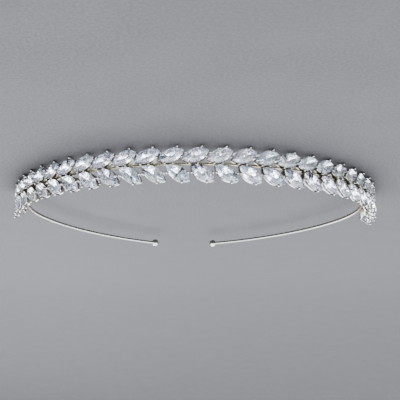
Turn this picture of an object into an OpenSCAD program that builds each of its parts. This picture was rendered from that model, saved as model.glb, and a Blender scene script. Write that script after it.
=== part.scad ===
// Two rows of marquise stones set as a laurel on a thin open headband of round wire.
// The band lies flat: front towards -Y, open end with its two ball tips towards +Y.

/* [Headband wire] */
// Radius of the front arc, to the middle of the wire
front_radius = 61.5; // [58:0.5:70]
// Angle from the front to where the wire starts to straighten
front_half_angle = 105; // [95:1:115]
// Radius of the straighter rear arcs
rear_radius = 114.5; // [90:0.5:140]
// Angle that each rear arc turns through
rear_sweep = 40; // [30:1:45]
// Thickness of the round wire
wire_d = 1.2; // [1.2:0.1:1.6]
// Diameter of the ball on each end of the wire
ball_d = 3.3; // [2.5:0.1:4]
// Angle by which each wire reaches in behind the last settings
wire_overlap = 15; // [10:1:20]

/* [Stones] */
// Number of stones in each row
stones_per_row = 28; // [20:1:28]
// Length of a stone, tip to tip
stone_length = 8; // [7.6:0.1:8.2]
// Width of a stone at its middle
stone_width = 4; // [3.6:0.1:4]
// Angle from one stone to the next along the band
stone_step = 6.08; // [6:0.02:6.2]
// Height of the crown, from the girdle to the table
crown_height = 0.6; // [0.4:0.05:0.7]
// Depth of the pavilion, from the girdle to the culet
pavilion_depth = 1.7; // [1.4:0.05:1.9]
// Thickness of the girdle
girdle_thickness = 0.16; // [0.1:0.02:0.2]
// Size of the table as a share of the outline
table_share = 0.55; // [0.5:0.01:0.62]

/* [Leaf rows] */
// Height of the upper row's middle above the wire
upper_row_rise = 2.74; // [2.6:0.02:2.8]
// Slope of the upper row's stones, falling towards +X
upper_row_slope = 33; // [30:1:36]
// Drop of the lower row's middle below the wire
lower_row_drop = 2.46; // [2.4:0.02:2.5]
// Slope of the lower row's stones, rising towards +X
lower_row_slope = 21; // [18:1:23]
// Half of the angle by which the lower row leads the upper one
row_lead = 0.8; // [0.6:0.1:1]

/* [Settings] */
// Distance from the middle of the wire out to the girdles
girdle_stand_off = 3.7; // [3.4:0.1:4]
// Distance from the middle of the wire out to the backs of the settings
back_stand_off = 0.4; // [0.3:0.05:0.4]
// Thickness of the stem between the two rows
stem_d = 0.66; // [0.6:0.02:0.8]
// Wall of the two rails of a setting
rail_wall = 0.42; // [0.35:0.01:0.5]
// Height of the two rails of a setting
rail_height = 0.5; // [0.4:0.05:0.6]
// Width of a prong
prong_width = 0.46; // [0.4:0.02:0.48]
// Thickness of a prong
prong_thickness = 0.38; // [0.34:0.02:0.4]
// Diameter of the bead that ends a prong
claw_d = 0.74; // [0.7:0.02:0.76]

/* [Hidden] */

// The outline of a stone is where two equal circles overlap.
half_length = stone_length / 2;
outline_radius = (half_length * half_length / (stone_width / 2) + stone_width / 2) / 2;
outline_offset = outline_radius - stone_width / 2;
outline_half_angle = asin(half_length / outline_radius);

// Facets: kite facets meet the girdle at the tips and at three points on each side.
kites = 8;
star_height = 0.42;
lower_facet_depth = 0.78;

// Rails: distance from the outline of the stone, then height of the top under the girdle.
top_rail_outset = 0.08;
top_rail_depth = 0.74;
base_rail_inset = 0.75;
base_rail_depth = girdle_stand_off - back_stand_off - rail_height;
stem_depth = 1.0;

// The base rails of the two rows lie this far from the middle of the wire.
base_gap = 0.3;

// Prongs stand where the side of a stone has turned by this angle. Each runs from its
// claw down to a knee at the top rail, then leans in to a foot on the base rail.
prong_turn = 28.7;
prong_top_outset = 0.34;
prong_top_rise = 0.42;
prong_knee_outset = 0.18;
prong_knee_depth = 0.8;
prong_foot_depth = base_rail_depth + rail_height / 2;
claw_outset = 0.3;
claw_rise = 0.42;

// The lowest claws of the lower row set the height of the wire above the surface.
claw_x = (outline_radius + claw_outset) * sin(prong_turn);
claw_y = (outline_radius + claw_outset) * cos(prong_turn) - outline_offset;
lower_row_reach = claw_x * sin(lower_row_slope) + claw_y * cos(lower_row_slope) + claw_d / 2;
wire_height = lower_row_drop + lower_row_reach;

// Ends of the wire, and the middle of the band from front to rear.
end_angle = front_half_angle + rear_sweep;
radius_change = front_radius - rear_radius;
end_x = radius_change * sin(front_half_angle) + rear_radius * sin(end_angle);
end_y = -radius_change * cos(front_half_angle) - rear_radius * cos(end_angle);
front_reach = front_radius + girdle_stand_off + claw_rise + claw_d / 2;
centre_y = (end_y + ball_d / 2 - front_reach) / 2;

// Half of the angle that the stem spans, and the angle where each wire starts.
stem_reach = (stones_per_row - 1) / 2 * stone_step + row_lead;
wire_root_angle = stem_reach - wire_overlap;

// The rear arc is a hair thinner and starts just inside the end of the front arc.
splice_step = 0.01;
splice_angle = 0.2;

// Flat faces that a quick preview draws on round metal, on outlines and along the arcs.
metal_faces = 32;
outline_faces = 96;
arc_faces = 180;

// Row tables: rise above the wire, slope of the stones, shift along the band.
RISE = 0;
SLOPE = 1;
SHIFT = 2;
upper_row = [upper_row_rise, -upper_row_slope, -row_lead];
lower_row = [-lower_row_drop, lower_row_slope, row_lead];

// Direction in which the outline faces at kite k, and its distance from the middle.
function side_of(k) = k < kites / 2 ? 1 : -1;
function turn_of(k) = k % (kites / 2) * 2 * outline_half_angle / (kites / 2) - outline_half_angle;
function is_tip(k) = k % (kites / 2) == 0;
function facing(k) = is_tip(k)
    ? [k == 0 ? -1 : 1, 0]
    : side_of(k) * [sin(turn_of(k)), cos(turn_of(k))];
function girdle_point(turn, side) = side * [
    outline_radius * sin(turn),
    outline_radius * cos(turn) - outline_offset
];
function kite_point(k) = girdle_point(turn_of(k), side_of(k));
function half_point(k) =
    girdle_point(turn_of(k) + outline_half_angle / (kites / 2), side_of(k));
function reach(k) = facing(k) * kite_point(k);

// Where the sides drawn through two neighbouring kite points cross.
function corner(k) =
    let (
        a = facing(k),
        b = facing((k + 1) % kites),
        ra = reach(k),
        rb = reach((k + 1) % kites),
        cross_ab = a.x * b.y - a.y * b.x
    )
    [(ra * b.y - rb * a.y) / cross_ab, (a.x * rb - b.x * ra) / cross_ab];

function raised(p, z) = [p.x, p.y, z];

// The back of a setting is moved towards the wire, so the two rows fan out from it.
function lean_in(row) =
    abs(row[RISE]) - base_gap
    - (outline_radius - base_rail_inset - outline_offset * cos(row[SLOPE]));
function base_shift(row) =
    -sign(row[RISE]) * lean_in(row) * [sin(row[SLOPE]), cos(row[SLOPE])];

// Brilliant cut: table, stars, kites, girdle, lower facets and mains, down to the culet.
module marquise_stone() {
    top = girdle_thickness / 2;
    star_share = 1 - (1 - table_share) * star_height;
    k_all = [for (k = [0:kites - 1]) k];
    points = concat(
        [for (k = k_all) raised(table_share * kite_point(k), top + crown_height)],
        [for (k = k_all) raised(star_share * corner(k), top + star_height * crown_height)],
        [for (k = k_all) each [raised(kite_point(k), top), raised(half_point(k), top)]],
        [for (k = k_all) each [raised(kite_point(k), -top), raised(half_point(k), -top)]],
        [for (k = k_all) raised((1 - lower_facet_depth) * corner(k),
            -top - lower_facet_depth * pavilion_depth)],
        [[0, 0, -top - pavilion_depth]]
    );
    star = kites;
    rim_top = 2 * kites;
    rim_low = 4 * kites;
    belly = 6 * kites;
    culet = 7 * kites;
    faces = concat(
        [k_all],
        [for (k = k_all) let (n = (k + 1) % kites) [k, star + k, n]],
        [for (k = k_all) let (b = (k + kites - 1) % kites)
            each [[k, star + b, rim_top + 2 * k], [k, rim_top + 2 * k, star + k]]],
        [for (k = k_all) let (n = (k + 1) % kites, g = rim_top + 2 * k)
            each [[star + k, g, g + 1], [star + k, g + 1, rim_top + 2 * n]]],
        [for (g = [0:2 * kites - 1]) let (n = (g + 1) % (2 * kites))
            each [[rim_top + g, rim_low + g, rim_low + n], [rim_top + g, rim_low + n, rim_top + n]]],
        [for (k = k_all) let (n = (k + 1) % kites, g = rim_low + 2 * k)
            each [[belly + k, g + 1, g], [belly + k, rim_low + 2 * n, g + 1]]],
        [for (k = k_all) let (b = (k + kites - 1) % kites)
            each [[culet, rim_low + 2 * k, belly + b], [culet, belly + k, rim_low + 2 * k]]]
    );
    polyhedron(points = points, faces = faces);
}

module marquise_outline(outset) {
    intersection() {
        translate([0, -outline_offset]) circle(r = outline_radius + outset, $fn = outline_faces);
        translate([0, outline_offset]) circle(r = outline_radius + outset, $fn = outline_faces);
    }
}

module rail(outset, depth, shift = [0, 0]) {
    translate(raised(shift, -depth - rail_height))
        linear_extrude(rail_height)
            difference() {
                marquise_outline(outset);
                marquise_outline(outset - rail_wall);
            }
}

// Distance from the middle of a side's arc out to the middle of the base rail's wall.
function foot_radius(turn, side, shift) =
    let (
        wall_radius = outline_radius - base_rail_inset - rail_wall / 2,
        along = side * [sin(turn), cos(turn)] * shift
    )
    along + sqrt(wall_radius * wall_radius - shift * shift + along * along);

// Bent strip with its claw: foot on the base rail, knee at the top rail.
module prong(turn, side, shift) {
    half = prong_thickness / 2;
    foot = foot_radius(turn, side, shift);
    knee = outline_radius + prong_knee_outset;
    top = outline_radius + prong_top_outset;
    rotate([0, 0, side == 1 ? -turn : 180 - turn]) {
        rotate([90, 0, 90])
            linear_extrude(prong_width, center = true)
                polygon([
                    [foot - half, -prong_foot_depth],
                    [foot + half, -prong_foot_depth],
                    [knee + half, -prong_knee_depth],
                    [top + half, prong_top_rise],
                    [top - half, prong_top_rise],
                    [knee - half, -prong_knee_depth]
                ]);
        translate([0, outline_radius + claw_outset, claw_rise])
            sphere(d = claw_d, $fn = metal_faces);
    }
}

// Open setting of one stone: two rails and four prongs, the girdle at height 0.
module setting(row) {
    rail(top_rail_outset, top_rail_depth);
    rail(-base_rail_inset, base_rail_depth, base_shift(row));
    for (side = [-1, 1], turn = [-prong_turn, prong_turn])
        translate([0, -side * outline_offset, 0])
            prong(turn, side, base_shift(row));
}

// Puts its children at every place of a row, their height axis pointing outwards.
module along_row(row) {
    for (i = [0:stones_per_row - 1])
        rotate([0, 0, (i - (stones_per_row - 1) / 2) * stone_step + row[SHIFT]])
            translate([0, -front_radius - girdle_stand_off, row[RISE]])
                rotate([90, 0, 0])
                    rotate([0, 0, row[SLOPE]])
                        children();
}

// Arc of round wire between two angles from the front, turning towards +X.
module wire_arc(radius, thickness, from, to) {
    rotate([0, 0, from - 90])
        rotate_extrude(angle = to - from, $fn = arc_faces)
            translate([radius, 0])
                circle(d = thickness, $fn = metal_faces);
}

// One half of the rear wire, its ball at the open end.
module rear_wire() {
    wire_arc(front_radius, wire_d, wire_root_angle, front_half_angle);
    translate([radius_change * sin(front_half_angle), -radius_change * cos(front_half_angle), 0])
        wire_arc(rear_radius, wire_d - 2 * splice_step, front_half_angle - splice_angle, end_angle);
    translate([end_x, end_y, 0])
        sphere(d = ball_d, $fn = metal_faces);
}

module in_place() {
    translate([0, -centre_y, wire_height])
        children();
}

// All the metal is soldered into one piece: wires, stem and settings.
module headband_frame() {
    color("silver")
        in_place() {
            rear_wire();
            mirror([1, 0, 0]) rear_wire();
            wire_arc(front_radius + girdle_stand_off - stem_depth, stem_d, -stem_reach, stem_reach);
            along_row(upper_row) setting(upper_row);
            along_row(lower_row) setting(lower_row);
        }
}

module upper_row_stones() {
    color("azure")
        in_place() along_row(upper_row) marquise_stone();
}

module lower_row_stones() {
    color("azure")
        in_place() along_row(lower_row) marquise_stone();
}

headband_frame();
upper_row_stones();
lower_row_stones();
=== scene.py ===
# %% [markdown]
# # A leaf headband of clear stones
# The real thing is a light bridal headband: one thin round wire, bent to an open horseshoe with a
# ball on each end, and along its front two rows of boat-shaped stones, set like the leaves of a
# laurel branch.
# Everything that has a size or carries something was made beforehand and is loaded here as a fixed
# frame: the soldered metal and plain solids for the stones. Blender adds the looks, which are the cut
# of the stones, the finish of each surface, the light and the camera.

# %% Load the frame
import math
import random

import bmesh
import bpy
from mathutils import Matrix, Vector


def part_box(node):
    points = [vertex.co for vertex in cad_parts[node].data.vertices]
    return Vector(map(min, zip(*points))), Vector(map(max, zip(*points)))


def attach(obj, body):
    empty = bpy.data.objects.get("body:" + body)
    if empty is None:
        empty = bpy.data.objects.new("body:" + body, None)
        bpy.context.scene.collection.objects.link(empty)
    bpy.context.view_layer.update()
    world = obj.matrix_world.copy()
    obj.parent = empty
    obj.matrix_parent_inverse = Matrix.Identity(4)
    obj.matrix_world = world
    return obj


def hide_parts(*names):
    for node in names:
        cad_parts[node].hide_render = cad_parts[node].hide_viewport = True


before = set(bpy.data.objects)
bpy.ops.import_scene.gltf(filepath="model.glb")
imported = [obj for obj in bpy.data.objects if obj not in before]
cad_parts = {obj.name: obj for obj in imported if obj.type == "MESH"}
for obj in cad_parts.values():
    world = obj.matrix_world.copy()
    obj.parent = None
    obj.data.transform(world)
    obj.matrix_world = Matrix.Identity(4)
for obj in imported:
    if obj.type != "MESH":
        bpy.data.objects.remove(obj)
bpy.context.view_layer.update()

print("nodes of the frame:", sorted(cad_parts))

# %% [markdown]
# ## The outline of a stone
# A marquise stone is boat-shaped: two equal arcs that meet in a point at each end, here 8 mm long
# and 4 mm wide. The outline could be drawn by hand as a curve, but two sizes settle it, so the radius
# of the arcs and the distance of their middles from the stone's middle are worked out from them.
# Every point on the outline is then a side (1 or -1) and a turn, the angle in which it faces.

# %% Outline of a stone
MM = 0.001
STONE_LENGTH = 8.0
STONE_WIDTH = 4.0
HALF_LENGTH = STONE_LENGTH / 2
OUTLINE_RADIUS = (HALF_LENGTH ** 2 / (STONE_WIDTH / 2) + STONE_WIDTH / 2) / 2
OUTLINE_OFFSET = OUTLINE_RADIUS - STONE_WIDTH / 2
OUTLINE_HALF_ANGLE = math.asin(HALF_LENGTH / OUTLINE_RADIUS)


def outline_point(turn, side, outset=0.0):
    """A point on the outline, or outset mm outside it, seen from the stone's middle."""
    radius = OUTLINE_RADIUS + outset
    return side * Vector((radius * math.sin(turn), radius * math.cos(turn) - OUTLINE_OFFSET))


print("arcs of radius", OUTLINE_RADIUS, "mm, facing up to", round(math.degrees(OUTLINE_HALF_ANGLE), 1), "deg")

# %% [markdown]
# ## Where the band lies
# The stones and the camera are both placed from one point: the middle of the round arc that the
# front of the band follows. It could be measured on the mesh, but a few driving sizes give it
# exactly. The origin is halfway between the foremost claw and the rearmost ball, on the floor, and
# the lowest claws of the lower row touch the floor.

# %% Middle of the front arc
FRONT_RADIUS = 61.5
FRONT_HALF_ANGLE = math.radians(105)
REAR_RADIUS = 114.5
REAR_SWEEP = math.radians(40)
BALL_DIAMETER = 3.3
GIRDLE_STAND_OFF = 3.7
CLAW_TURN = math.radians(28.7)
CLAW_OUTSET = 0.3
CLAW_RISE = 0.42
CLAW_DIAMETER = 0.74
ROWS = {
    "upper": {"rise": 2.74, "slope": math.radians(-33), "shift": math.radians(-0.8)},
    "lower": {"rise": -2.46, "slope": math.radians(21), "shift": math.radians(0.8)},
}


def arc_middle():
    """Middle of the front arc, in metres: front and rear reach equally far from the origin."""
    end_angle = FRONT_HALF_ANGLE + REAR_SWEEP
    wire_end = (REAR_RADIUS - FRONT_RADIUS) * math.cos(FRONT_HALF_ANGLE) - REAR_RADIUS * math.cos(end_angle)
    rear_reach = wire_end + BALL_DIAMETER / 2
    front_reach = FRONT_RADIUS + GIRDLE_STAND_OFF + CLAW_RISE + CLAW_DIAMETER / 2
    claw = outline_point(CLAW_TURN, 1, CLAW_OUTSET)
    slope = ROWS["lower"]["slope"]
    claw_reach = claw.x * math.sin(slope) + claw.y * math.cos(slope) + CLAW_DIAMETER / 2
    return MM * Vector((0, (front_reach - rear_reach) / 2, claw_reach - ROWS["lower"]["rise"]))


ARC_MIDDLE = arc_middle()
print("middle of the front arc in mm:", [round(1000 * c, 3) for c in ARC_MIDDLE])

# %% [markdown]
# ## Camera
# The photograph looks at the band from close by, along its open end, and a little from one side of
# its plane. It shows the underside of the ring, which no camera above the floor can see while the
# band lies as in the photograph. The band is the same either way up, though, so here it lies turned
# over, the camera stands above the floor and is rolled by half a turn, and the picture comes out the
# same. The three axes of the camera are built directly from the two angles, because that keeps the
# roll plain to read. The shift only centres the band as the photograph's crop does.

# %% Place the camera
CAMERA_DISTANCE = 239.4 * MM
CAMERA_ELEVATION = math.radians(11.735)
CAMERA_YAW = math.radians(4.007)
SENSOR_WIDTH = 36.0
LENS = 56.8
IMAGE_SHIFT = (0.0122, 0.0268)
NEAREST_SEEN = 0.01
FARTHEST_SEEN = 20.0


def camera_axes(yaw, elevation):
    """Right, up and back of a camera in front of the band, rolled by half a turn."""
    c, s = math.cos(yaw), math.sin(yaw)
    ce, se = math.cos(elevation), math.sin(elevation)
    right = Vector((-c, -s, 0))
    up = Vector((se * s, -se * c, -ce))
    back = Vector((s * ce, -c * ce, se))
    return right, up, back


def add_camera():
    right, up, back = camera_axes(CAMERA_YAW, CAMERA_ELEVATION)
    data = bpy.data.cameras.new("camera")
    data.sensor_width = SENSOR_WIDTH
    data.lens = LENS
    data.shift_x, data.shift_y = IMAGE_SHIFT
    data.clip_start = NEAREST_SEEN
    data.clip_end = FARTHEST_SEEN
    camera = bpy.data.objects.new("camera", data)
    turn = Matrix((right, up, back)).transposed().to_4x4()
    camera.matrix_world = Matrix.Translation(ARC_MIDDLE + CAMERA_DISTANCE * back) @ turn
    bpy.context.scene.collection.objects.link(camera)
    bpy.context.scene.camera = camera
    return camera


camera = add_camera()
print("camera at", [round(1000 * c, 1) for c in camera.matrix_world.translation], "mm")

# %% [markdown]
# ## Helpers for finishes
# Every finish here is a tree of nodes without any picture, so it has detail at any distance and
# needs no unwrapped mesh. Building a tree in code is wordy. These small helpers each add one node,
# fill its sockets with numbers or with the outputs of other nodes, and give back its result, so that
# a finish reads almost like a formula.

# %% Helpers for finishes
def new_finish(name):
    """A new material, its node tree and its main shader."""
    material = bpy.data.materials.new(name)
    material.use_nodes = True
    return material, material.node_tree, material.node_tree.nodes["Principled BSDF"]


def fill(tree, socket, value):
    if isinstance(value, bpy.types.NodeSocket):
        tree.links.new(value, socket)
    else:
        socket.default_value = value


def add_node(tree, kind, settings=None, **sockets):
    """A new node: settings are its properties, sockets its inputs by name."""
    node = tree.nodes.new(kind)
    for key, value in (settings or {}).items():
        setattr(node, key, value)
    for key, value in sockets.items():
        fill(tree, node.inputs[key.replace("_", " ")], value)
    return node


def calculate(tree, operation, *values):
    node = add_node(tree, "ShaderNodeMath", {"operation": operation})
    for socket, value in zip(node.inputs, values):
        fill(tree, socket, value)
    return node.outputs["Value"]


def vector_step(tree, operation, result, *values):
    node = add_node(tree, "ShaderNodeVectorMath", {"operation": operation})
    for socket, value in zip(node.inputs, values):
        fill(tree, socket, value)
    return node.outputs[result]


def rescale(tree, value, source, target=(0.0, 1.0)):
    """The value mapped smoothly from one range to another, and held at both ends."""
    node = add_node(tree, "ShaderNodeMapRange", {"interpolation_type": "SMOOTHSTEP"}, Value=value)
    node.inputs["From Min"].default_value, node.inputs["From Max"].default_value = source
    node.inputs["To Min"].default_value, node.inputs["To Max"].default_value = target
    return node.outputs["Result"]


print("helpers for numbers ready")

# %% [markdown]
# ## Helpers for colours and grain
# Grown, rubbed and tarnished surfaces all come from two tools: a noise, and a colour ramp that says
# what colour each value of the noise stands for. A bump turns the same noise into relief, so that
# colour, gloss and relief agree with each other. Nearly all values of a noise lie in the middle of
# its range, which NOISE_SPAN names.

# %% Helpers for colours and grain
NOISE_SPAN = (0.3, 0.7)
MIX_FACTOR, MIX_FIRST, MIX_SECOND, MIX_RESULT = 0, 6, 7, 2


def mix_colours(tree, factor, first, second, blend="MIX"):
    node = add_node(tree, "ShaderNodeMix", {"data_type": "RGBA", "blend_type": blend})
    for number, value in ((MIX_FACTOR, factor), (MIX_FIRST, first), (MIX_SECOND, second)):
        fill(tree, node.inputs[number], value)
    return node.outputs[MIX_RESULT]


def colour_steps(tree, value, stops, interpolation="LINEAR"):
    """A colour ramp. stops are pairs of a position and a colour."""
    node = add_node(tree, "ShaderNodeValToRGB", Fac=value)
    ramp = node.color_ramp
    ramp.interpolation = interpolation
    while len(ramp.elements) < len(stops):
        ramp.elements.new(1.0)
    for element, (position, colour) in zip(ramp.elements, stops):
        element.position = position
        element.color = (*colour, 1)
    return node.outputs["Color"]


def grain(tree, place, scale, detail=2.0, roughness=0.5):
    node = add_node(tree, "ShaderNodeTexNoise", Vector=place, Scale=scale, Detail=detail, Roughness=roughness)
    return node.outputs["Fac"]


def bumps(tree, height, depth, strength):
    """A normal that tilts with the height value, whose full range stands for depth metres."""
    node = add_node(tree, "ShaderNodeBump", Height=height, Distance=depth, Strength=strength)
    return node.outputs["Normal"]


print("helpers for colours and grain ready")

# %% [markdown]
# ## Floor and backdrop
# A plain pale paper sweep: flat under the band, and curved up all round it like a wide dish, so that
# no edge and no horizon shows from any side. A dish could be a curve turned with the Screw modifier.
# Written as rings of points in bmesh, its profile stays two named sizes and a loop.

# %% Build the sweep
SWEEP_FLAT_RADIUS = 0.45
SWEEP_BEND_RADIUS = 1.4
SWEEP_BEND_ANGLE = math.radians(42)
SWEEP_SIDES = 96
SWEEP_FLAT_STEPS = 3
SWEEP_BEND_STEPS = 24


def sweep_profile():
    """Radius and height, from the first ring round the middle out and up to the rim."""
    for i in range(1, SWEEP_FLAT_STEPS + 1):
        yield SWEEP_FLAT_RADIUS * i / SWEEP_FLAT_STEPS, 0.0
    for i in range(1, SWEEP_BEND_STEPS + 1):
        angle = SWEEP_BEND_ANGLE * i / SWEEP_BEND_STEPS
        yield (SWEEP_FLAT_RADIUS + SWEEP_BEND_RADIUS * math.sin(angle),
               SWEEP_BEND_RADIUS * (1 - math.cos(angle)))


def ring_of_points(shape, radius, height):
    angles = [math.tau * i / SWEEP_SIDES for i in range(SWEEP_SIDES)]
    return [shape.verts.new((radius * math.cos(a), radius * math.sin(a), height)) for a in angles]


def add_sweep():
    shape = bmesh.new()
    middle = shape.verts.new((0, 0, 0))
    rings = [ring_of_points(shape, radius, height) for radius, height in sweep_profile()]
    for i in range(SWEEP_SIDES):
        n = (i + 1) % SWEEP_SIDES
        shape.faces.new((middle, rings[0][i], rings[0][n]))
        for inner, outer in zip(rings, rings[1:]):
            shape.faces.new((inner[i], outer[i], outer[n], inner[n]))
    for face in shape.faces:
        face.smooth = True
    mesh = bpy.data.meshes.new("paper_sweep")
    shape.to_mesh(mesh)
    shape.free()
    sweep = bpy.data.objects.new("paper_sweep", mesh)
    bpy.context.scene.collection.objects.link(sweep)
    return sweep


sweep = add_sweep()
print("sweep of", len(sweep.data.polygons), "faces")

# %% [markdown]
# ## Paper
# Backdrop paper is matt, but not dead flat: it has a faint mottle from its pulp, and a tooth that
# catches low light. Two noises of different size give both, and the finer one also makes the bump.
# They stay weak, because the floor should not draw the eye from something so small.

# %% Paper finish
PAPER_COLOURS = ((0.30, (0.096, 0.096, 0.0985)), (0.70, (0.102, 0.102, 0.1045)))
PAPER_MOTTLE_SCALE = 60.0
PAPER_TOOTH_SCALE = 1500.0
PAPER_TOOTH_DEPTH = 0.03 * MM
PAPER_ROUGHNESS = (0.55, 0.75)
PAPER_RELIEF = 0.25
PAPER_SHEEN = 0.25


def paper_finish():
    material, tree, shader = new_finish("pale_paper")
    place = add_node(tree, "ShaderNodeTexCoord").outputs["Object"]
    mottle = grain(tree, place, PAPER_MOTTLE_SCALE, detail=3.0)
    tooth = grain(tree, place, PAPER_TOOTH_SCALE, detail=2.0)
    fill(tree, shader.inputs["Base Color"], colour_steps(tree, mottle, PAPER_COLOURS))
    fill(tree, shader.inputs["Roughness"], rescale(tree, tooth, NOISE_SPAN, PAPER_ROUGHNESS))
    fill(tree, shader.inputs["Normal"], bumps(tree, tooth, PAPER_TOOTH_DEPTH, PAPER_RELIEF))
    shader.inputs["Specular IOR Level"].default_value = PAPER_SHEEN
    return material


sweep.data.materials.append(paper_finish())
print("paper finish on the sweep")

# %% [markdown]
# ## Light tent
# Polished metal and stones show nothing but their surroundings, so what is round them matters more
# than how strong any lamp is. Jewellers put such a piece in a tent of white cloth. Here the world is
# that tent: bright from above, a little darker low down all round, with soft folds from a noise, so
# that neighbouring facets each find something a little different to mirror. The tent is far brighter
# than the paper, because half of what a stone mirrors is the floor in front of it.

# %% Build the tent
TENT_STRENGTH = 2.0
TENT_HEIGHTS = ((0.05, (0.74, 0.74, 0.75)), (0.70, (1.0, 1.0, 1.0)))
TENT_FOLDS = ((0.36, (0.58, 0.58, 0.63)), (0.52, (0.88, 0.90, 0.94)))
TENT_FOLD_SCALE = 2.6


def add_tent():
    world = bpy.data.worlds.new("white_tent")
    world.use_nodes = True
    tree = world.node_tree
    way = add_node(tree, "ShaderNodeTexCoord").outputs["Generated"]
    height = add_node(tree, "ShaderNodeSeparateXYZ", Vector=way).outputs["Z"]
    shade = colour_steps(tree, height, TENT_HEIGHTS, "EASE")
    folds = colour_steps(tree, grain(tree, way, TENT_FOLD_SCALE, detail=1.0, roughness=0.4), TENT_FOLDS)
    background = tree.nodes["Background"]
    fill(tree, background.inputs["Color"], mix_colours(tree, 1.0, shade, folds, "MULTIPLY"))
    background.inputs["Strength"].default_value = TENT_STRENGTH
    bpy.context.scene.world = world


add_tent()
print("tent strength", TENT_STRENGTH)

# %% [markdown]
# ## Soft boxes
# A few square lamps stand in the tent: one over the band for its soft shadow, a wide one above the
# camera, one on each side and a weaker one behind. They aim at the middle of the front arc. The power
# of an area lamp depends on its size, so each box names the brightness of its face instead, and the
# power follows. The boxes are hidden from the camera, so that none shows in any view.

# %% Add the soft boxes
NEUTRAL, COOL, WARM = (1.0, 1.0, 1.0), (0.92, 0.95, 1.0), (1.0, 0.98, 0.94)
SOFT_BOXES = {
    "overhead": {"place": (0.0, 0.15, 0.9), "size": (0.6, 0.5), "brightness": 1.5, "tint": NEUTRAL},
    "front_high": {"place": (0.05, -0.75, 0.6), "size": (0.7, 0.3), "brightness": 1.7, "tint": NEUTRAL},
    "front_left": {"place": (-0.75, -0.5, 0.42), "size": (0.4, 0.4), "brightness": 1.6, "tint": COOL},
    "front_right": {"place": (0.75, -0.55, 0.38), "size": (0.4, 0.4), "brightness": 1.6, "tint": WARM},
    "behind": {"place": (0.3, 0.9, 0.5), "size": (0.5, 0.3), "brightness": 1.4, "tint": NEUTRAL},
}


def add_soft_box(name, place, size, brightness, tint):
    width, height = size
    lamp = bpy.data.lights.new(name, "AREA")
    lamp.shape = "RECTANGLE"
    lamp.size, lamp.size_y = width, height
    lamp.energy = brightness * math.pi * width * height
    lamp.color = tint
    box = bpy.data.objects.new(name, lamp)
    box.location = place
    box.rotation_euler = (ARC_MIDDLE - Vector(place)).to_track_quat("-Z", "Y").to_euler()
    box.visible_camera = False
    bpy.context.scene.collection.objects.link(box)
    return box


for name, settings in SOFT_BOXES.items():
    box = add_soft_box(name, **settings)
    print(name, "soft box of", round(box.data.energy, 2), "W")

# %% [markdown]
# ## How light is followed
# Light goes through the crown of a stone, off its silvered back, often off a second facet, and out
# again. Each of those is a bounce, and the usual limit of four glossy bounces would leave many facets
# black, so the limits are raised. What comes out is often brighter than white. The Standard view
# would cut that off to flat white patches. The AgX view rolls it off softly, as film does, so a facet
# that mirrors the tent keeps its shade. AgX alone is low in contrast, so its strongest contrast look
# and a little more exposure give the sparkle and the pale floor back.

# %% Bounces and view
MOST_BOUNCES = 16
MIRROR_BOUNCES = 12
CLEAR_BOUNCES = 14
EXPOSURE = 0.35
scene = bpy.context.scene
scene.cycles.max_bounces = MOST_BOUNCES
scene.cycles.glossy_bounces = MIRROR_BOUNCES
scene.cycles.transmission_bounces = CLEAR_BOUNCES
scene.view_settings.view_transform = "AgX"
scene.view_settings.look = "AgX - Very High Contrast"
scene.view_settings.exposure = EXPOSURE
print("bounces:", MOST_BOUNCES, "view:", scene.view_settings.look)

# %% [markdown]
# ## Metal: where it is bright
# Wire, stem and settings are one soldered piece of plated brass. What lies deep between the two rows
# is painted darker and warmer than the claws, the rails and the open wire: painted shade, because
# little light reaches it. A baked ambient occlusion would give that too, but three distances from
# the middle of the front arc give it at once. Metal is open, out of the painted shade, if it stands
# far enough out, if it is far enough above or below the stem, or if it is bare wire, which clears up
# slowly behind the last settings.

# %% Mask of the painted shade
OPEN_FROM_RADIUS = (64.0 * MM, 65.9 * MM)
OPEN_FROM_STEM = (0.8 * MM, 2.8 * MM)
OPEN_TO_REAR = (-10 * MM, 30 * MM)


def outside_painted_shade(tree, place):
    """0 deep between the rows, where shade is painted; 1 on the claws, the outer rails and the bare wire."""
    from_middle = vector_step(tree, "SUBTRACT", "Vector", place, ARC_MIDDLE)
    flat = vector_step(tree, "MULTIPLY", "Vector", from_middle, (1, 1, 0))
    radius = vector_step(tree, "LENGTH", "Value", flat)
    axes = add_node(tree, "ShaderNodeSeparateXYZ", Vector=from_middle)
    from_stem = calculate(tree, "ABSOLUTE", axes.outputs["Z"])
    stands_out = rescale(tree, radius, OPEN_FROM_RADIUS)
    off_stem = rescale(tree, from_stem, OPEN_FROM_STEM)
    bare_wire = rescale(tree, axes.outputs["Y"], OPEN_TO_REAR)
    return calculate(tree, "MAXIMUM", bare_wire, calculate(tree, "MAXIMUM", stands_out, off_stem))


print("deep metal lies within", round(OPEN_FROM_STEM[0] / MM, 1), "mm of the stem's level")

# %% [markdown]
# ## Metal: polish and wear
# The plate is bright, but it was polished in a drum and has been handled, so it carries fine
# scratches and a soft cloudiness. Scratches could be drawn one by one, which nobody would see at this
# size. Here they come from a fine noise that is drawn out from front to rear and squeezed in height,
# and the cloudiness from a second noise. Both change the roughness, the clouds tint the plate where
# it has tarnished, and the scratches also make a very shallow bump.

# %% Metal finish
OPEN_METAL = (0.44, 0.43, 0.41, 1)
# Painted shade: the colour of the metal deep between the rows.
PAINTED_SHADE_METAL = (0.38, 0.35, 0.27, 1)
TARNISH = (0.91, 0.87, 0.79, 1)
CLOUD_SCALE = 700.0
SCRATCH_SCALE = 2600.0
SCRATCH_STRETCH = (1.0, 0.35, 2.4)
SCRATCH_DEPTH = 0.012 * MM
SCRATCH_RELIEF = 0.3
SCRATCH_SHARE = 0.5
TARNISHED_CLOUDS = (0.52, 0.75)
MOST_TARNISH = 0.6
WEAR_SPAN = (0.35, 0.65)
METAL_ROUGHNESS = (0.16, 0.32)


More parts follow.
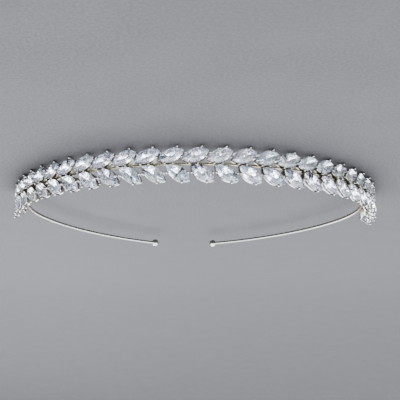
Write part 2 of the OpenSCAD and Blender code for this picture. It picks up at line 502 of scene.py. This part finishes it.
def plated_metal():
    material, tree, shader = new_finish("plated_metal")
    place = add_node(tree, "ShaderNodeTexCoord").outputs["Object"]
    clouds = grain(tree, place, CLOUD_SCALE, detail=3.0)
    drawn_out = vector_step(tree, "MULTIPLY", "Vector", place, SCRATCH_STRETCH)
    scratches = grain(tree, drawn_out, SCRATCH_SCALE)
    # Painted shade makes the metal deep between the rows darker and warmer.
    colour = mix_colours(tree, outside_painted_shade(tree, place), PAINTED_SHADE_METAL, OPEN_METAL)
    tarnish = rescale(tree, clouds, TARNISHED_CLOUDS, (0.0, MOST_TARNISH))
    fill(tree, shader.inputs["Base Color"], mix_colours(tree, tarnish, colour, TARNISH, "MULTIPLY"))
    cloudiness = calculate(tree, "MULTIPLY", clouds, 1 - SCRATCH_SHARE)
    wear = calculate(tree, "MULTIPLY_ADD", scratches, SCRATCH_SHARE, cloudiness)
    fill(tree, shader.inputs["Roughness"], rescale(tree, wear, WEAR_SPAN, METAL_ROUGHNESS))
    fill(tree, shader.inputs["Normal"], bumps(tree, scratches, SCRATCH_DEPTH, SCRATCH_RELIEF))
    shader.inputs["Metallic"].default_value = 1.0
    return material


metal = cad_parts["headband_frame"]
metal.data.materials.clear()
metal.data.materials.append(plated_metal())
print("metal of", len(metal.data.polygons), "faces, all in one soldered piece")

# %% [markdown]
# ## The cut of a stone
# The stones have a brilliant cut. On top lies the flat table. Round it come small star facets, then
# kites that reach the girdle, and a pair of narrow facets between each two kites. Under the girdle a
# pair of lower facets and a long main facet meet in a point, the culet. A marquise has eight kites:
# one at each tip and three along each side. A cut could be sliced out of a block with eight planes a
# ring, but working out the corners gives clean flat facets with no leftovers. A kite facet is flat
# only if its side corners lie where the slanted sides of neighbouring kites cross, which corner
# works out.

# %% Kites of a stone
KITES = 8
KITES_A_SIDE = KITES // 2
KITE_TURN = 2 * OUTLINE_HALF_ANGLE / KITES_A_SIDE


def side_of(k):
    return 1 if k < KITES_A_SIDE else -1


def turn_of(k):
    return k % KITES_A_SIDE * KITE_TURN - OUTLINE_HALF_ANGLE


def facing(k):
    """Flat direction in which kite k faces; the two at the tips face along the stone."""
    if k % KITES_A_SIDE == 0:
        return Vector((-side_of(k), 0))
    return side_of(k) * Vector((math.sin(turn_of(k)), math.cos(turn_of(k))))


def kite_point(k):
    return outline_point(turn_of(k), side_of(k))


def half_point(k):
    """The point on the outline halfway to the next kite."""
    return outline_point(turn_of(k) + KITE_TURN / 2, side_of(k))


def corner(k):
    """Where the sides drawn through kite k and the next one cross."""
    a, b = facing(k), facing((k + 1) % KITES)
    reach_a = a.dot(kite_point(k))
    reach_b = b.dot(kite_point((k + 1) % KITES))
    return Vector((reach_a * b.y - reach_b * a.y, a.x * reach_b - b.x * reach_a)) / a.cross(b)


print("kites face at", [round(math.degrees(turn_of(k))) for k in range(KITES_A_SIDE)], "deg on each side")

# %% [markdown]
# ## Points of a stone
# The corners go in rings, from the table down to the culet. The facets will name them by number, as
# a maker would write a cutting plan. The heights of the rings are shares of the crown and of the
# pavilion, so the stone can be cut flatter or deeper without losing its facets.

# %% Points of a stone
CROWN_HEIGHT = 0.6
PAVILION_DEPTH = 1.7
GIRDLE_THICKNESS = 0.16
TABLE_SHARE = 0.55
STAR_HEIGHT = 0.42
LOWER_FACET_DEPTH = 0.78


def stone_points():
    """Rings of points: table, stars, upper girdle, lower girdle, lower facets, culet."""
    rim = GIRDLE_THICKNESS / 2
    star_share = 1 - (1 - TABLE_SHARE) * STAR_HEIGHT
    star_top = rim + STAR_HEIGHT * CROWN_HEIGHT
    belly_share = 1 - LOWER_FACET_DEPTH
    belly_low = -rim - LOWER_FACET_DEPTH * PAVILION_DEPTH
    kites = range(KITES)
    points = [(*(TABLE_SHARE * kite_point(k)), rim + CROWN_HEIGHT) for k in kites]
    points += [(*(star_share * corner(k)), star_top) for k in kites]
    for height in (rim, -rim):
        for k in kites:
            points += [(*kite_point(k), height), (*half_point(k), height)]
    points += [(*(belly_share * corner(k)), belly_low) for k in kites]
    points.append((0, 0, -rim - PAVILION_DEPTH))
    return [Vector(point) for point in points]


print("a stone has", len(stone_points()), "points")

# %% [markdown]
# ## Cutting plan
# The table is one facet. All the others come in groups that repeat once for each kite, so one pass
# of a loop names a star, a kite, the pair between this kite and the next, two strips of the girdle
# and the facets under it. Each ring of points starts at a number of its own.

# %% Facets of a stone
STAR = KITES
RIM_TOP = 2 * KITES
RIM_LOW = 4 * KITES
BELLY = 6 * KITES
CULET = 7 * KITES


def stone_facets():
    """Facets as pairs: the part of the stone, and the numbers of the points."""
    facets = [("crown", list(range(KITES)))]
    for k in range(KITES):
        after, before = (k + 1) % KITES, (k - 1) % KITES
        here, half, there = 2 * k, 2 * k + 1, 2 * after
        facets += [
            ("crown", [k, STAR + k, after]),
            ("crown", [k, STAR + before, RIM_TOP + here, STAR + k]),
            ("crown", [STAR + k, RIM_TOP + here, RIM_TOP + half]),
            ("crown", [STAR + k, RIM_TOP + half, RIM_TOP + there]),
            ("girdle", [RIM_TOP + here, RIM_LOW + here, RIM_LOW + half, RIM_TOP + half]),
            ("girdle", [RIM_TOP + half, RIM_LOW + half, RIM_LOW + there, RIM_TOP + there]),
            ("pavilion", [BELLY + k, RIM_LOW + half, RIM_LOW + here]),
            ("pavilion", [BELLY + k, RIM_LOW + there, RIM_LOW + half]),
            ("pavilion", [CULET, BELLY + k, RIM_LOW + here, BELLY + before]),
        ]
    return facets


print("a stone has", len(stone_facets()), "facets")

# %% [markdown]
# ## Two rows of leaves
# The stones stand in two rows along the front arc, 28 in each. In the photograph the leaves of one
# row slope more than those of the other, and one row is a little ahead. A stone could be one mesh
# shown 56 times. Each row is built as one mesh instead, so that every facet can keep a number of its
# own, a random shade that the finish reads. The random numbers come from the row's name, so each run
# gives the same stones.

# %% Places of the stones
STONES_PER_ROW = 28
STONE_STEP = math.radians(6.08)


def stone_places(row):
    """One matrix for each stone of a row, from the stone's own millimetres to its place."""
    for i in range(STONES_PER_ROW):
        angle = (i - (STONES_PER_ROW - 1) / 2) * STONE_STEP + row["shift"]
        stand = MM * Vector((0, -FRONT_RADIUS - GIRDLE_STAND_OFF, row["rise"]))
        yield (Matrix.Translation(ARC_MIDDLE)
               @ Matrix.Rotation(angle, 4, "Z")
               @ Matrix.Translation(stand)
               @ Matrix.Rotation(math.pi / 2, 4, "X")
               @ Matrix.Rotation(row["slope"], 4, "Z")
               @ Matrix.Scale(MM, 4))


print("a row spans", round(math.degrees((STONES_PER_ROW - 1) * STONE_STEP), 1), "deg of the front arc")

# %% [markdown]
# ## Build a row
# Every stone of a row gets the same corners, turned to its place, and the same cutting plan. Each
# facet also keeps the number of its part, because crown, girdle and pavilion are finished
# differently.

# %% Build a row
PARTS_OF_A_STONE = ("crown", "girdle", "pavilion")


def build_row(name, row):
    shape = bmesh.new()
    facet_shade = shape.faces.layers.float.new("facet_shade")
    draw = random.Random(name)
    points, facets = stone_points(), stone_facets()
    for place in stone_places(row):
        corners = [shape.verts.new(place @ point) for point in points]
        for part, numbers in facets:
            face = shape.faces.new([corners[n] for n in numbers])
            face.material_index = PARTS_OF_A_STONE.index(part)
            face[facet_shade] = draw.random()
    bmesh.ops.recalc_face_normals(shape, faces=shape.faces)
    mesh = bpy.data.meshes.new(name)
    shape.to_mesh(mesh)
    shape.free()
    stones = bpy.data.objects.new(name, mesh)
    bpy.context.scene.collection.objects.link(stones)
    return stones


leaf_rows = {row_name: build_row(row_name + "_leaf_stones", row) for row_name, row in ROWS.items()}
for row_name, stones in leaf_rows.items():
    print(stones.name, "has", len(stones.data.polygons), "facets")

# %% [markdown]
# ## Shade of each facet
# No two facets of a real stone look alike: each mirrors another part of the room, and the cut splits
# light into faint colours. Both are painted here: the mesh carries a random number for each facet,
# and a ramp with hard steps turns it into one of a few painted reflections: mostly clear white, some
# with a breath of blue, green, violet or rose, and now and then a dark one, which is painted shade.

# %% Shade of each facet
# Painted reflections of the facets; the dark first step is painted shade.
PAINTED_FACET_SHADES = (
    (0.00, (0.20, 0.20, 0.24)),
    (0.05, (0.82, 0.85, 0.92)),
    (0.16, (0.87, 0.93, 1.00)),
    (0.36, (0.98, 0.98, 1.00)),
    (0.62, (0.90, 0.98, 0.95)),
    (0.76, (0.92, 0.90, 1.00)),
    (0.90, (1.00, 0.97, 0.92)),
)
WHITE = (1, 1, 1, 1)


def facet_number(tree):
    return add_node(tree, "ShaderNodeAttribute", {"attribute_name": "facet_shade"}).outputs["Fac"]


def painted_facet_colour(tree, strength):
    shades = colour_steps(tree, facet_number(tree), PAINTED_FACET_SHADES, "CONSTANT")
    return mix_colours(tree, strength, WHITE, shades)


print("shades a facet can have:", len(PAINTED_FACET_SHADES))

# %% [markdown]
# ## Clear crown
# The upper half of a stone is polished and clear. It is the Principled shader with its transmission
# up and the index of refraction of crystal glass. Polished stones still carry faint smears from
# handling, so a noise lifts the roughness by a few hundredths here and there, and the same noise is
# a very shallow bump that keeps the reflections from being ruler straight.

# %% Finish of the crown
SMEAR_SCALE = 500.0
SMEAR_DEPTH = 0.003 * MM
SMEAR_RELIEF = 0.3
SMEARED_PLACES = (0.45, 0.75)
CLEAR_ROUGHNESS = (0.0, 0.05)
CLEAR_SHARE = 0.95
CROWN_TINT = 0.25
STONE_IOR = 1.55


def clear_crown():
    material, tree, shader = new_finish("clear_crown")
    place = add_node(tree, "ShaderNodeTexCoord").outputs["Object"]
    smears = grain(tree, place, SMEAR_SCALE, detail=2.0)
    # The crown is tinted a quarter of the way to the facets' painted reflections and painted shade.
    fill(tree, shader.inputs["Base Color"], painted_facet_colour(tree, CROWN_TINT))
    fill(tree, shader.inputs["Roughness"], rescale(tree, smears, SMEARED_PLACES, CLEAR_ROUGHNESS))
    fill(tree, shader.inputs["Normal"], bumps(tree, smears, SMEAR_DEPTH, SMEAR_RELIEF))
    shader.inputs["IOR"].default_value = STONE_IOR
    shader.inputs["Transmission Weight"].default_value = CLEAR_SHARE
    return material


print("crown with an index of refraction of", STONE_IOR)

# %% [markdown]
# ## Frosted girdle
# The narrow rim of the stone is left as it was ground, so it scatters light and draws a thin pale
# line round each leaf. It is the crown's glass with less transmission, far more roughness and a fine
# ground bump, which together make it white instead of clear.

# %% Finish of the girdle
GRINDING_SCALE = 6000.0
GRINDING_DEPTH = 0.01 * MM
GRINDING_RELIEF = 0.5
GIRDLE_SHADES = ((0.3, (0.84, 0.86, 0.88)), (0.7, (0.94, 0.96, 0.98)))
GIRDLE_ROUGHNESS = (0.28, 0.48)
GIRDLE_CLEAR_SHARE = 0.3


def frosted_girdle():
    material, tree, shader = new_finish("frosted_girdle")
    place = add_node(tree, "ShaderNodeTexCoord").outputs["Object"]
    ground = grain(tree, place, GRINDING_SCALE, detail=2.0)
    fill(tree, shader.inputs["Base Color"], colour_steps(tree, ground, GIRDLE_SHADES))
    fill(tree, shader.inputs["Roughness"], rescale(tree, ground, NOISE_SPAN, GIRDLE_ROUGHNESS))
    fill(tree, shader.inputs["Normal"], bumps(tree, ground, GRINDING_DEPTH, GRINDING_RELIEF))
    shader.inputs["IOR"].default_value = STONE_IOR
    shader.inputs["Transmission Weight"].default_value = GIRDLE_CLEAR_SHARE
    return material


print("girdle ground at", GRINDING_DEPTH / MM, "mm")

# %% [markdown]
# ## Silvered back
# Rhinestones are silvered like a mirror on the back, so that all the light that enters comes out
# again. That is why they look so bright from the front, and why nothing shows through them. The
# pavilion facets are therefore metal, coloured with the facets' painted reflections and painted shade.
# The coat is brushed on by hand: each facet has its own gloss, and a noise gives the fine mottle that
# shows from behind.

# %% Finish of the back
FOIL_MOTTLE_SCALE = 1500.0
FOIL_DEPTH = 0.006 * MM
FOIL_RELIEF = 0.2
FACET_GLOSS_SHARE = 0.6
GLOSS_SPAN = (0.2, 0.8)
BACK_ROUGHNESS = (0.03, 0.10)
SILVER_SHARE = 0.85


def silvered_back():
    material, tree, shader = new_finish("silvered_back")
    place = add_node(tree, "ShaderNodeTexCoord").outputs["Object"]
    mottle = grain(tree, place, FOIL_MOTTLE_SCALE, detail=3.0)
    # The silvered back takes the facets' painted reflections and painted shade in full.
    fill(tree, shader.inputs["Base Color"], painted_facet_colour(tree, 1.0))
    mottled = calculate(tree, "MULTIPLY", mottle, 1 - FACET_GLOSS_SHARE)
    gloss = calculate(tree, "MULTIPLY_ADD", facet_number(tree), FACET_GLOSS_SHARE, mottled)
    fill(tree, shader.inputs["Roughness"], rescale(tree, gloss, GLOSS_SPAN, BACK_ROUGHNESS))
    fill(tree, shader.inputs["Normal"], bumps(tree, mottle, FOIL_DEPTH, FOIL_RELIEF))
    shader.inputs["Metallic"].default_value = SILVER_SHARE
    return material


stone_finishes = [clear_crown(), frosted_girdle(), silvered_back()]
print("finishes of a stone:", [finish.name for finish in stone_finishes])

# %% [markdown]
# ## Put the rows in place
# Each row takes the place of the plain solids of the same row, and rides with the one body that the
# headband is. The largest difference between the box of the new stones and the box of the solids they
# replace is printed. Both come from the same sizes.

# %% Rows in place
def box_of(piece):
    corners = [vertex.co for vertex in piece.data.vertices]
    return [[pick(co[axis] for co in corners) for axis in range(3)] for pick in (min, max)]


def largest_difference(box_a, box_b):
    return max(abs(a - b) for side_a, side_b in zip(box_a, box_b) for a, b in zip(side_a, side_b))


for row_name, stones in leaf_rows.items():
    node = row_name + "_row_stones"
    for finish in stone_finishes:
        stones.data.materials.append(finish)
    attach(stones, "root")
    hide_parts(node)
    off = largest_difference(box_of(stones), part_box(node)) / MM
    print(stones.name, "differs from its solids by", round(off, 4), "mm")
